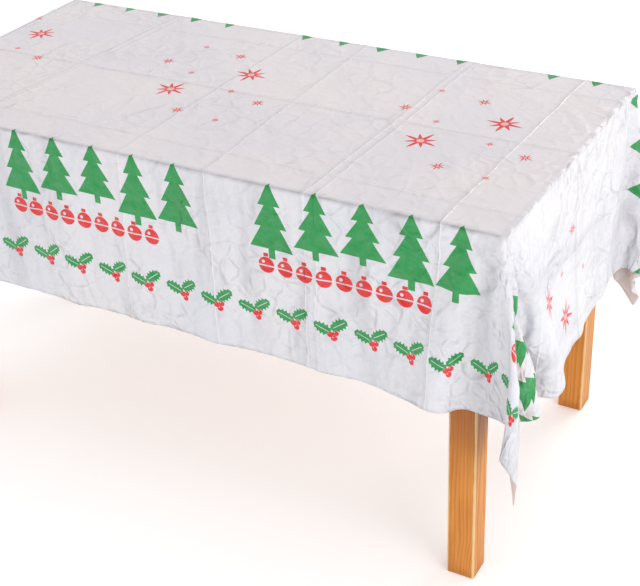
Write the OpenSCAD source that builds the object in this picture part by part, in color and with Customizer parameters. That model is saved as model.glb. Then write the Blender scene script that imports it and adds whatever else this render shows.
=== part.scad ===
// A four-legged wooden table under a loose film tablecloth.
// Origin: on the floor under the middle of the table. +X along the table, +Y to the back, +Z up. Millimetres.

/* [Table] */
// Length of the table top, along X
top_l = 1370; // [1100:10:2000]
// Width of the table top, along Y
top_w = 660; // [520:10:1000]
// Height of the table top's upper face above the floor
table_h = 750; // [600:5:950]
// Thickness of the top boards
top_t = 22; // [18:1:35]

/* [Legs] */
// Side of the square legs
leg_s = 55; // [45:1:80]
// How far the top overhangs the legs at the two ends
over_end = 42; // [10:1:120]
// How far the top overhangs the legs at the two long sides
over_side = 4; // [2:1:60]
// Rounding of the legs' long edges
leg_ease = 4; // [1:0.5:8]
// Chamfer round the foot of each leg
foot_chamfer = 2; // [0.5:0.5:5]
// Flat cut on the leg's inner edge, which faces the corner block
leg_flat = 14; // [10:1:20]

/* [Aprons] */
// Height of the four aprons
apron_h = 90; // [80:1:140]
// Thickness of the aprons
apron_t = 22; // [18:1:30]
// How far the aprons stand back from the legs' outer faces
apron_set = 8; // [2:1:12]
// Thickness of the cross rail under the middle of the top
rail_t = 22; // [16:1:35]
// Height of the cross rail
rail_h = 60; // [45:1:80]

/* [Corner blocks and bolts] */
// Thickness of the corner blocks
block_t = 28; // [22:1:36]
// Height of the corner blocks
block_h = 70; // [60:1:78]
// Distance between the two bolts of a leg
bolt_pitch = 36; // [28:1:40]
// Radius of the hanger bolts
bolt_r = 4; // [3:0.5:5]
// How deep the hanger bolts go into the legs
bolt_depth = 36; // [25:1:45]
// Radius of the washers
washer_r = 9; // [8:0.5:12]
// Thickness of the washers
washer_t = 1.6; // [1:0.1:3]
// Height of the nuts
nut_h = 6.5; // [5:0.5:9]
// How far a bolt stands out past its nut
bolt_end = 3; // [1:0.5:8]

/* [Screws, dowels and buttons] */
// Radius of the screws' shanks
screw_r = 2; // [1.5:0.1:2.5]
// Radius of the screws' countersunk heads
head_r = 4; // [3.5:0.1:4.5]
// Height of the screws' countersunk heads
head_h = 2.4; // [1.5:0.1:3]
// How deep each screw bites into the piece that it holds
screw_bite = 12; // [8:0.5:14]
// Radius of the dowels
dowel_r = 4; // [3:0.5:5]
// Length of each dowel in the rail
dowel_in = 18; // [12:1:25]
// Length of each dowel in the apron
dowel_out = 13; // [8:1:15]
// Length of a button along its apron
button_l = 38; // [25:1:45]
// Reach of a button's body from the apron
button_reach = 29; // [24:1:35]
// Height of a button's body
button_h = 20; // [18:1:26]
// Height of a button's tongue
tongue_h = 8; // [5:0.5:9]
// Depth of the groove in the aprons for the buttons' tongues
groove_d = 8; // [5:0.5:10]

/* [Tablecloth] */
// Length of the cloth as it is cut
cloth_l = 2130; // [2020:10:2600]
// Width of the cloth as it is cut
cloth_w = 1370; // [1300:10:1800]
// Thickness of the cloth's solid
cloth_t = 1; // [0.6:0.1:3]
// How far a corner's cone fold stands out at its tip
fold_out = 50; // [20:1:80]
// How far from the corner the drop starts to turn into the cone fold
fold_reach = 130; // [60:5:200]

/* [Hidden] */
// Clearances
cloth_gap = 0.5;     // between the cloth's drop and the edges of the top
cloth_lift = 0.3;    // between the cloth and the upper face of the top
block_gap = 1.5;     // between a corner block and its leg
hole_gap = 0.5;      // round a bolt or screw that passes through freely
fit_gap = 0.05;      // round a bolt, screw or dowel in the hole that holds it
groove_gap = 1;      // round a button's tongue in its groove, and past a dowel's end
slot_w = 0.8;        // driving slot in the screw heads
cut = 1;             // how far a cutting body passes the face that it cuts
$fn = 48;

// Places worked out from the sizes above
board_count = 5;
board_w = top_w / board_count;
under_top = table_h - top_t;
leg_x = top_l / 2 - over_end;            // outer faces of the legs
leg_y = top_w / 2 - over_side;
apron_in = apron_set + apron_t;          // aprons' inner faces, measured from the legs' outer faces
apron_z = under_top - apron_h;
inner_x = leg_x - apron_in;              // inner faces of the end aprons
inner_y = leg_y - apron_in;              // inner faces of the long aprons
block_mid = under_top - apron_h / 2;
// Corner blocks are laid out from a leg's outer corner: a runs along X and b along Y, both inwards,
// and a diagonal plane is where a + b has one value.
flat_sum = 2 * leg_s - leg_flat;
block_near = flat_sum + block_gap * sqrt(2);
block_far = block_near + block_t * sqrt(2);
bolt_from = flat_sum / sqrt(2) - bolt_depth;
bolt_seat = block_far / sqrt(2);
bolt_to = bolt_seat + washer_t + nut_h + bolt_end;
screw_a = (block_near + block_far) / 2 - apron_in;   // where the block's screws cross the apron's face
seat_b = apron_in + (block_far - block_near) / 4;    // outer end of those screws' heads
block_screw_l = seat_b - apron_in + screw_bite;
// Buttons stand in pairs between the rail and the corner blocks, and at the middles of two end boards.
groove_top = under_top - (button_h - tongue_h);
block_end_x = leg_x - (block_far - apron_in);
button_per_half = 2;
button_x = [for (i = [0:button_per_half - 1])
    rail_t / 2 + (block_end_x - rail_t / 2) * (i + 0.5) / button_per_half];
button_mid = button_reach / 2 + groove_gap;
button_screw_l = button_h + min(screw_bite, top_t - 6);
// Each button: its place on the inner face of its apron and the angle that points it inwards.
BUTTONS = concat(
    [for (x = button_x, sx = [-1, 1]) [sx * x, -inner_y, 0]],
    [for (x = button_x, sx = [-1, 1]) [sx * x, inner_y, 180]],
    [for (sy = [-1, 1]) [-inner_x, sy * board_w, 270]],
    [for (sy = [-1, 1]) [inner_x, sy * board_w, 90]]
);
// The cloth's drops at the sides, the ends and the corners
side_drop = (cloth_w - top_w) / 2;
end_drop = (cloth_l - top_l) / 2;
corner_drop = sqrt(pow(side_drop, 2) + pow(end_drop, 2) - pow(fold_out, 2));
fold_steps = 4;      // columns of the cloth's mesh on each side of a corner
turn_steps = 5;      // columns of the cloth's mesh round a corner
drop_steps = 3;      // rows of the cloth's mesh down the drop

wood = [0.80, 0.55, 0.30];
frame_wood = [0.84, 0.64, 0.40];
block_wood = [0.76, 0.58, 0.38];
steel = [0.72, 0.72, 0.74];
film = [0.93, 0.92, 0.93];

// ---- Placing ----

// Places a child made in a corner's own (a, b) layout at the corner with signs sx and sy.
module at_corner(sx, sy) {
    mirror([sx > 0 ? 1 : 0, 0, 0])
        mirror([0, sy > 0 ? 1 : 0, 0])
            translate([-leg_x, -leg_y, 0])
                children();
}

module at_corners() {
    for (sx = [-1, 1], sy = [-1, 1])
        at_corner(sx, sy) children();
}

// Turns a child's +Z to point inwards along the corner's diagonal, at each bolt's height.
module at_bolts() {
    for (s = [-0.5, 0.5])
        translate([0, 0, block_mid + s * bolt_pitch])
            rotate([0, 0, 45]) rotate([0, 90, 0])
                children();
}

// Sets a child's +Z along b, and again along a, at the outer end of each block screw.
module at_block_screws() {
    for (s = [-0.5, 0.5])
        translate([0, 0, block_mid + s * bolt_pitch]) {
            translate([screw_a, seat_b, 0]) rotate([-90, 0, 0]) children();
            translate([seat_b, screw_a, 0]) rotate([0, 90, 0]) children();
        }
}

module at_buttons() {
    for (b = BUTTONS)
        translate([b[0], b[1], under_top]) rotate([0, 0, b[2]]) children();
}

// ---- Fasteners and their holes ----

// A countersunk screw with its head's flat at z = 0 and its point at z = -length.
module wood_screw(length) {
    point = 2 * screw_r;
    difference() {
        union() {
            translate([0, 0, -head_h]) cylinder(h = head_h, r1 = screw_r, r2 = head_r);
            translate([0, 0, point - length]) cylinder(h = length - point - head_h, r = screw_r);
            translate([0, 0, -length]) cylinder(h = point, r1 = screw_r / 4, r2 = screw_r);
        }
        translate([-head_r - cut, -slot_w / 2, -head_h / 3]) cube([2 * (head_r + cut), slot_w, head_h]);
    }
}

// The way through for a screw: its seat, the recess over it and a free hole under it.
module screw_way(recess, through) {
    translate([0, 0, -head_h]) cylinder(h = head_h, r1 = screw_r, r2 = head_r);
    cylinder(h = recess, r = head_r + hole_gap);
    translate([0, 0, -through]) cylinder(h = through, r = screw_r + hole_gap);
}

// The hole that a screw bites into.
module screw_pilot(length) {
    translate([0, 0, -length - fit_gap]) cylinder(h = length + fit_gap, r = screw_r + fit_gap);
}

// ---- Table ----

module eased_square(side, r) {
    translate([r, 0]) square([side - 2 * r, side]);
    translate([0, r]) square([side, side - 2 * r]);
    for (x = [r, side - r], y = [r, side - r])
        translate([x, y]) circle(r);
}

module leg() {
    half = leg_s / 2;
    color(wood) difference() {
        linear_extrude(under_top) eased_square(leg_s, leg_ease);
        // chamfer round the foot
        for (turn = [0:90:270])
            translate([half, half, 0]) rotate([0, 0, turn])
                translate([half - foot_chamfer, -leg_s, 0]) rotate([0, 45, 0])
                    cube([leg_s, 2 * leg_s, 2 * foot_chamfer]);
        // flat that faces the corner block
        translate([0, 0, apron_z])
            rotate([0, 0, 45]) translate([flat_sum / sqrt(2), -leg_s, 0])
                cube([leg_s, 2 * leg_s, apron_h + cut]);
        at_bolts() translate([0, 0, bolt_from - groove_gap])
            cylinder(h = bolt_depth + groove_gap + cut, r = bolt_r + fit_gap);
    }
}

module top_board(index) {
    low_y = -top_w / 2 + index * board_w;
    color(frame_wood) difference() {
        translate([-top_l / 2, low_y, under_top]) cube([top_l, board_w, top_t]);
        for (b = BUTTONS)
            if (board_of(b) == index) button_pilot(b);
    }
}

// The board that a button's screw enters.
function button_screw_y(b) = b[1] + cos(b[2]) * button_mid;
function board_of(b) = floor((button_screw_y(b) + top_w / 2) / board_w);

module button_pilot(b) {
    translate([b[0], b[1], under_top]) rotate([0, 0, b[2]]) translate([0, button_mid, -button_h])
        mirror([0, 0, 1]) screw_pilot(button_screw_l);
}

// An apron with its outer face at y = 0, running along X to each side of the middle.
module apron(length) {
    difference() {
        translate([-length / 2, 0, apron_z]) cube([length, apron_t, apron_h]);
        translate([-length / 2 - cut, apron_t - groove_d, groove_top - tongue_h - groove_gap])
            cube([length + 2 * cut, groove_d + cut, tongue_h + groove_gap]);
    }
}

module long_apron(sy) {
    color(frame_wood) difference() {
        mirror([0, sy > 0 ? 1 : 0, 0]) translate([0, -leg_y + apron_set, 0]) apron(2 * (leg_x - leg_s));
        at_corners() at_block_screws() screw_pilot(block_screw_l);
        at_dowels() dowel_hole();
    }
}

module end_apron(sx) {
    color(frame_wood) difference() {
        mirror([sx > 0 ? 1 : 0, 0, 0]) translate([-leg_x + apron_set, 0, 0])
            rotate([0, 0, -90]) apron(2 * (leg_y - leg_s));
        at_corners() at_block_screws() screw_pilot(block_screw_l);
    }
}

module centre_rail() {
    color(frame_wood) difference() {
        translate([-rail_t / 2, -inner_y, under_top - rail_h]) cube([rail_t, 2 * inner_y, rail_h]);
        at_dowels() dowel_hole();
    }
}

// Sets a child's +Z outwards along Y on the apron's inner face, at each dowel's height.
module at_dowels() {
    for (sy = [-1, 1], s = [-1, 1])
        translate([0, sy * inner_y, under_top - rail_h / 2 + s * rail_h / 4])
            rotate([-sy * 90, 0, 0]) children();
}

module dowel() {
    translate([0, 0, -dowel_in]) cylinder(h = dowel_in + dowel_out, r = dowel_r);
}

module dowel_hole() {
    translate([0, 0, -dowel_in - groove_gap])
        cylinder(h = dowel_in + dowel_out + 2 * groove_gap, r = dowel_r + fit_gap);
}

module rail_dowels() {
    color(block_wood) at_dowels() dowel();
}

module corner_block() {
    near = block_near - apron_in;
    far = block_far - apron_in;
    color(block_wood) difference() {
        translate([0, 0, block_mid - block_h / 2]) linear_extrude(block_h)
            polygon([[near, apron_in], [far, apron_in], [apron_in, far], [apron_in, near]]);
        at_bolts() cylinder(h = bolt_to, r = bolt_r + hole_gap);
        at_block_screws() screw_way(block_far, seat_b - apron_in + cut);
    }
}

module hanger_bolts() {
    color(steel) at_corners() at_bolts() translate([0, 0, bolt_from])
        cylinder(h = bolt_to - bolt_from, r = bolt_r);
}

module bolt_washers() {
    color(steel) at_corners() at_bolts() translate([0, 0, bolt_seat]) difference() {
        cylinder(h = washer_t, r = washer_r);
        translate([0, 0, -cut]) cylinder(h = washer_t + 2 * cut, r = bolt_r + hole_gap);
    }
}

module bolt_nuts() {
    color(steel) at_corners() at_bolts() translate([0, 0, bolt_seat + washer_t]) difference() {
        cylinder(h = nut_h, r = 1.85 * bolt_r, $fn = 6);
        translate([0, 0, -cut]) cylinder(h = nut_h + 2 * cut, r = bolt_r + fit_gap);
    }
}

module block_screws() {
    color(steel) at_corners() at_block_screws() wood_screw(block_screw_l);
}

// A button hooked in its apron's groove, with its body against the underside of the top.
module top_buttons() {
    color(block_wood) at_buttons() difference() {
        union() {
            translate([-button_l / 2, groove_gap, -button_h]) cube([button_l, button_reach, button_h]);
            translate([-button_l / 2, groove_gap - groove_d, -button_h])
                cube([button_l, groove_d, tongue_h]);
        }
        translate([0, button_mid, -button_h]) mirror([0, 0, 1]) screw_way(cut, button_h + cut);
    }
}

module button_screws() {
    color(steel) at_buttons() translate([0, button_mid, -button_h])
        mirror([0, 0, 1]) wood_screw(button_screw_l);
}

// ---- Tablecloth ----

// One column of the cloth's mesh: its place on the edge of the top, the way out from there, how far it has
// turned into the corner's fold (0 to 1), and the length of its drop.
function fold_column(corner, along, outward, reach, drop) =
    [corner - along * fold_reach * (1 - reach), outward, smooth(reach),
     drop + (corner_drop - drop) * reach];
function smooth(v) = v * v * (3 - 2 * v);

// The columns of the corner that lies at the given signs, from its first side round to its second.
// The first side is left along the direction in, and the second is entered along the direction out.
function corner_columns(corner, in, first_drop, out, second_drop) = concat(
    [for (i = [0:fold_steps]) fold_column(corner, in, [in[1], -in[0]], i / fold_steps, first_drop)],
    [for (i = [1:turn_steps - 1])
        let (a = 90 * i / turn_steps)
        [corner, [in[1], -in[0]] * cos(a) + in * sin(a), 1, corner_drop]],
    [for (i = [fold_steps:-1:0]) fold_column(corner, -out, [out[1], -out[0]], i / fold_steps, second_drop)]
);

// All the columns, anticlockwise as seen from above, from the front left end of the front drop.
CLOTH_COLUMNS = let (x = top_l / 2, y = top_w / 2) concat(
    corner_columns([x, -y], [1, 0], side_drop, [0, 1], end_drop),
    corner_columns([x, y], [0, 1], end_drop, [-1, 0], side_drop),
    corner_columns([-x, y], [-1, 0], side_drop, [0, -1], end_drop),
    corner_columns([-x, -y], [0, -1], end_drop, [1, 0], side_drop)
);

// One ring of the cloth's drop, part of the way down, at a distance from the edges of the top.
function cloth_ring(part, stand_off) = [
    for (c = CLOTH_COLUMNS)
        let (place = c[0] + c[1] * (stand_off + fold_out * c[2] * part))
        [place[0], place[1], table_h + cloth_lift - c[3] * part]
];

// The drop on all four sides, with its folds at the corners: a closed wall from the top's height to the hem.
module cloth_drop() {
    columns = len(CLOTH_COLUMNS);
    inner = (drop_steps + 1) * columns;
    points = concat(
        [for (i = [0:drop_steps]) each cloth_ring(i / drop_steps, cloth_gap + cloth_t)],
        [for (i = [0:drop_steps]) each cloth_ring(i / drop_steps, cloth_gap)]
    );
    // Two triangles between columns i and i + 1 of one row, p, and another, q.
    function strip(p, q) = [
        for (i = [0:columns - 1])
            let (j = (i + 1) % columns)
            each [[p + i, p + j, q + i], [p + j, q + j, q + i]]
    ];
    // The same triangles facing the other way, so that the two sides of the wall bend along the same lines.
    function turned(triangles) = [for (f = triangles) [f[2], f[1], f[0]]];
    faces = concat(
        strip(inner, 0),
        [for (r = [0:drop_steps - 1]) each strip(r * columns, (r + 1) * columns)],
        [for (r = [0:drop_steps - 1]) each turned(strip(inner + r * columns, inner + (r + 1) * columns))],
        strip(drop_steps * columns, inner + drop_steps * columns)
    );
    polyhedron(points = points, faces = faces, convexity = 6);
}

module tablecloth() {
    outline = [for (p = cloth_ring(0, cloth_gap + cloth_t)) [p[0], p[1]]];
    color(film) {
        translate([0, 0, table_h + cloth_lift]) linear_extrude(cloth_t) polygon(outline);
        cloth_drop();
    }
}

tablecloth();
top_board(0);  // top_board_1
top_board(1);  // top_board_2
top_board(2);  // top_board_3
top_board(3);  // top_board_4
top_board(4);  // top_board_5
at_corner(-1, -1) leg();  // leg_front_left
at_corner(1, -1) leg();  // leg_front_right
at_corner(-1, 1) leg();  // leg_back_left
at_corner(1, 1) leg();  // leg_back_right
long_apron(-1);  // apron_front
long_apron(1);  // apron_back
end_apron(-1);  // apron_left
end_apron(1);  // apron_right
centre_rail();
rail_dowels();
at_corner(-1, -1) corner_block();  // corner_block_front_left
at_corner(1, -1) corner_block();  // corner_block_front_right
at_corner(-1, 1) corner_block();  // corner_block_back_left
at_corner(1, 1) corner_block();  // corner_block_back_right
hanger_bolts();
bolt_washers();
bolt_nuts();
block_screws();
top_buttons();
button_screws();
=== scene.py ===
"""A printed plastic film tablecloth, draped over a four-legged pine table."""

import logging
import math
from dataclasses import dataclass, field
from enum import Enum

import bpy
import numpy as np
from mathutils import Matrix, Vector


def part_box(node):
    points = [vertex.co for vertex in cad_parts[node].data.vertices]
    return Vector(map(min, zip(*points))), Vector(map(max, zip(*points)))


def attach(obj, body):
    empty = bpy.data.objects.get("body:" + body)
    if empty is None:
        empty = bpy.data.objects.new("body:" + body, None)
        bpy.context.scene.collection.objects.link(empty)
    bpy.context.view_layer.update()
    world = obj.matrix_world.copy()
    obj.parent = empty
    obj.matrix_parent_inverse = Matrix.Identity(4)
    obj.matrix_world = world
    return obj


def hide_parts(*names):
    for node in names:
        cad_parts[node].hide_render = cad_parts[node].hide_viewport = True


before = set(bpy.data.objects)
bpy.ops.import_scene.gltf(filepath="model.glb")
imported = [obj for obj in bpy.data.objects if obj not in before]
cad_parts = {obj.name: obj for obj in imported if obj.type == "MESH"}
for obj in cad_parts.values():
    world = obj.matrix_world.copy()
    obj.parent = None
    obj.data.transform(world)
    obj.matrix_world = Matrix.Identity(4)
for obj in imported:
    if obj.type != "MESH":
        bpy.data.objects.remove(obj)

LOG = logging.getLogger("laid_table")

SAME_PLACE = 1e-5
SAME_LINE = 1e-4

Feed = object
Point = tuple[float, float, float]
Colour = tuple[float, float, float, float]

RED_INK: Colour = (0.700, 0.012, 0.012, 1.0)
GREEN_INK: Colour = (0.005, 0.270, 0.052, 1.0)
PINK_HEART: Colour = (0.800, 0.420, 0.400, 1.0)


def clear_selection() -> None:
    """Leaves edit mode if need be and deselects every object."""
    if bpy.context.object and bpy.context.object.mode != "OBJECT":
        bpy.ops.object.mode_set(mode="OBJECT")
    for piece in list(bpy.context.selected_objects):
        piece.select_set(False)


def make_active(piece: bpy.types.Object) -> None:
    """Makes one object the only selected one, and the active one.

    Args:
        piece: The object to work on.
    """
    clear_selection()
    piece.select_set(True)
    bpy.context.view_layer.objects.active = piece


def apply_modifier(piece: bpy.types.Object, name: str) -> None:
    """Applies one modifier to its mesh.

    Args:
        piece: The object that holds the modifier.
        name: The modifier's name.
    """
    make_active(piece)
    bpy.ops.object.modifier_apply(modifier=name)


def add_block(name: str, low: Point, high: Point) -> bpy.types.Object:
    """Adds a plain box between two corners, with its place in its mesh.

    Args:
        name: The object's name.
        low: The lowest corner, in metres.
        high: The highest corner, in metres.

    Returns:
        The new object.
    """
    clear_selection()
    centre = [(a + b) / 2 for a, b in zip(low, high)]
    bpy.ops.mesh.primitive_cube_add(size=1, location=centre)
    block = bpy.context.object
    block.name = name
    block.scale = [b - a for a, b in zip(low, high)]
    bpy.ops.object.transform_apply(location=True, rotation=True, scale=True)
    return block


def joint_box(names: list[str]) -> tuple[np.ndarray, np.ndarray]:
    """Finds the box that holds several frame nodes.

    Args:
        names: The nodes' names.

    Returns:
        The lowest and the highest corner.
    """
    corners = [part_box(name) for name in names]
    low = np.min([np.array(c[0]) for c in corners], axis=0)
    high = np.max([np.array(c[1]) for c in corners], axis=0)
    return low, high


class NodeWriter:
    """Adds shader nodes to one tree and wires them together."""

    def __init__(self, tree: bpy.types.NodeTree) -> None:
        """Keeps the tree to write in.

        Args:
            tree: A material's node tree or a node group.
        """
        self.tree = tree

    def feed(self, socket: bpy.types.NodeSocket, source: Feed) -> None:
        """Links a socket to an input, or sets the input's value.

        Args:
            socket: The input to fill.
            source: Another node's output, a number or a tuple.
        """
        if isinstance(source, bpy.types.NodeSocket):
            self.tree.links.new(source, socket)
        else:
            socket.default_value = source

    def node(self, kind: str, **settings: object) -> bpy.types.Node:
        """Adds a node.

        Args:
            kind: The node's type name.
            **settings: Attributes to set on it.

        Returns:
            The new node.
        """
        node = self.tree.nodes.new(kind)
        for name, value in settings.items():
            setattr(node, name, value)
        return node

    def math(self, operation: str, *sources: Feed, clamp: bool = False) -> bpy.types.NodeSocket:
        """Adds a Math node.

        Args:
            operation: The name of the sum.
            *sources: Its inputs, in order.
            clamp: Whether the result is kept within 0 and 1.

        Returns:
            The result's socket.
        """
        node = self.node("ShaderNodeMath", operation=operation, use_clamp=clamp)
        for socket, source in zip(node.inputs, sources):
            self.feed(socket, source)
        return node.outputs[0]

    def add(self, first: Feed, second: Feed) -> bpy.types.NodeSocket:
        """Returns first plus second."""
        return self.math("ADD", first, second)

    def sub(self, first: Feed, second: Feed) -> bpy.types.NodeSocket:
        """Returns first less second."""
        return self.math("SUBTRACT", first, second)

    def mul(self, first: Feed, second: Feed) -> bpy.types.NodeSocket:
        """Returns first times second."""
        return self.math("MULTIPLY", first, second)

    def size_of(self, value: Feed) -> bpy.types.NodeSocket:
        """Returns the value without its sign."""
        return self.math("ABSOLUTE", value)

    def larger(self, first: Feed, second: Feed) -> bpy.types.NodeSocket:
        """Returns the larger of two values."""
        return self.math("MAXIMUM", first, second)

    def vector(self, operation: str, *sources: Feed) -> bpy.types.NodeSocket:
        """Adds a Vector Math node.

        Args:
            operation: The name of the sum.
            *sources: Its inputs, in order.

        Returns:
            The result's socket: a value for a length, and a vector otherwise.
        """
        node = self.node("ShaderNodeVectorMath", operation=operation)
        for socket, source in zip(node.inputs, sources):
            self.feed(socket, source)
        return node.outputs["Value" if operation in ("LENGTH", "DISTANCE") else "Vector"]

    def split(self, vector: Feed) -> tuple[bpy.types.NodeSocket, ...]:
        """Takes a vector apart.

        Args:
            vector: The vector.

        Returns:
            Its three parts.
        """
        node = self.node("ShaderNodeSeparateXYZ")
        self.feed(node.inputs[0], vector)
        return tuple(node.outputs)

    def join(self, x: Feed, y: Feed, z: Feed = 0.0) -> bpy.types.NodeSocket:
        """Puts a vector together.

        Args:
            x: The first part.
            y: The second part.
            z: The third part.

        Returns:
            The vector's socket.
        """
        node = self.node("ShaderNodeCombineXYZ")
        for socket, source in zip(node.inputs, (x, y, z)):
            self.feed(socket, source)
        return node.outputs[0]

    def ramp(self, value: Feed, low: float, high: float,
             first: float = 0.0, last: float = 1.0) -> bpy.types.NodeSocket:
        """Eases a value from one number to another.

        Args:
            value: What is read.
            low: Where the rise starts.
            high: Where it ends.
            first: The result up to low.
            last: The result past high.

        Returns:
            The result's socket.
        """
        node = self.node("ShaderNodeMapRange", interpolation_type="SMOOTHSTEP")
        for name, source in (("Value", value), ("From Min", low), ("From Max", high),
                             ("To Min", first), ("To Max", last)):
            self.feed(node.inputs[name], source)
        return node.outputs[0]

    def inside(self, margin: Feed, soft: float) -> bpy.types.NodeSocket:
        """Turns a margin into a mask that is 1 where it is positive.

        Args:
            margin: How far inside the outline a point is, in metres.
            soft: The width of the soft edge, in metres.

        Returns:
            The mask's socket.
        """
        return self.ramp(margin, -soft, soft)

    def blend(self, factor: Feed, first: Feed, second: Feed,
              way: str = "MIX") -> bpy.types.NodeSocket:
        """Mixes two colours.

        Args:
            factor: The share of the second.
            first: The colour underneath.
            second: The colour on top.
            way: The blend type.

        Returns:
            The mixed colour's socket.
        """
        node = self.node("ShaderNodeMix", data_type="RGBA", blend_type=way)
        self.feed(node.inputs[0], factor)
        self.feed(node.inputs[6], first)
        self.feed(node.inputs[7], second)
        return node.outputs[2]

    def noise(self, vector: Feed, scale: float, detail: float = 2.0,
              rough: float = 0.5) -> bpy.types.NodeSocket:
        """Adds a Noise texture.

        Args:
            vector: Where it is read.
            scale: Its scale, per metre.
            detail: The number of finer layers.
            rough: How strong the finer layers are.

        Returns:
            The grey value's socket.
        """
        node = self.node("ShaderNodeTexNoise")
        for name, source in (("Vector", vector), ("Scale", scale),
                             ("Detail", detail), ("Roughness", rough)):
            self.feed(node.inputs[name], source)
        return node.outputs[0]

    def cells(self, vector: Feed, scale: float, feature: str = "F1") -> bpy.types.Node:
        """Adds a Voronoi texture.

        Args:
            vector: Where it is read.
            scale: Its scale, per metre.
            feature: What it measures.

        Returns:
            The node.
        """
        node = self.node("ShaderNodeTexVoronoi", feature=feature)
        self.feed(node.inputs["Vector"], vector)
        self.feed(node.inputs["Scale"], scale)
        return node

    def bump(self, height: Feed, distance: float, strength: float = 1.0) -> bpy.types.NodeSocket:
        """Adds a Bump node.

        Args:
            height: The height, 1 being the full distance.
            distance: The relief in metres.
            strength: The share of the effect that is used.

        Returns:
            The normal's socket.
        """
        node = self.node("ShaderNodeBump")
        for name, source in (("Height", height), ("Distance", distance), ("Strength", strength)):
            self.feed(node.inputs[name], source)
        return node.outputs[0]

    def place(self, group: bpy.types.NodeTree, **feeds: Feed) -> bpy.types.Node:
        """Places a node group.

        Args:
            group: The group.
            **feeds: What its inputs read, by name.

        Returns:
            The group's node.
        """
        node = self.node("ShaderNodeGroup", node_tree=group)
        for name, source in feeds.items():
            self.feed(node.inputs[name], source)
        return node


class GroupWriter(NodeWriter):
    """Writes one shader node group with named inputs and outputs."""

    KINDS = {1: "NodeSocketFloat", 3: "NodeSocketVector", 4: "NodeSocketColor"}

    def __init__(self, name: str, inputs: dict[str, Feed], outputs: dict[str, int]) -> None:
        """Starts the group.

        Args:
            name: The group's name.
            inputs: Each input's name and its value at the start.
            outputs: Each output's name and its number of parts, 1, 3 or 4.
        """
        super().__init__(bpy.data.node_groups.new(name, "ShaderNodeTree"))
        for title, value in inputs.items():
            parts = len(value) if isinstance(value, tuple) else 1
            socket = self.tree.interface.new_socket(
                title, in_out="INPUT", socket_type=self.KINDS[parts])
            socket.default_value = value
        for title, parts in outputs.items():
            self.tree.interface.new_socket(
                title, in_out="OUTPUT", socket_type=self.KINDS[parts])
        self.inputs = self.node("NodeGroupInput").outputs
        self.outputs = self.node("NodeGroupOutput").inputs

    def put(self, **results: Feed) -> bpy.types.NodeTree:
        """Wires the group's outputs.

        Args:
            **results: What each output gives, by name.

        Returns:
            The finished group.
        """
        for name, source in results.items():
            self.feed(self.outputs[name], source)
        return self.tree


class MaterialWriter(NodeWriter):
    """Writes one material round a Principled shader."""

    def __init__(self, name: str) -> None:
        """Starts the material.

        Args:
            name: The material's name.
        """
        self.material = bpy.data.materials.new(name)
        self.material.use_nodes = True
        super().__init__(self.material.node_tree)
        self.tree.nodes.clear()
        self.shader = self.node("ShaderNodeBsdfPrincipled")
        output = self.node("ShaderNodeOutputMaterial")
        self.tree.links.new(self.shader.outputs[0], output.inputs["Surface"])

    def set(self, socket: str, source: Feed) -> None:
        """Sets or links one of the shader's inputs."""
        self.feed(self.shader.inputs[socket], source)

    def object_place(self) -> bpy.types.NodeSocket:
        """Returns the object's own coordinates, in metres."""
        return self.node("ShaderNodeTexCoord").outputs["Object"]


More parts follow.
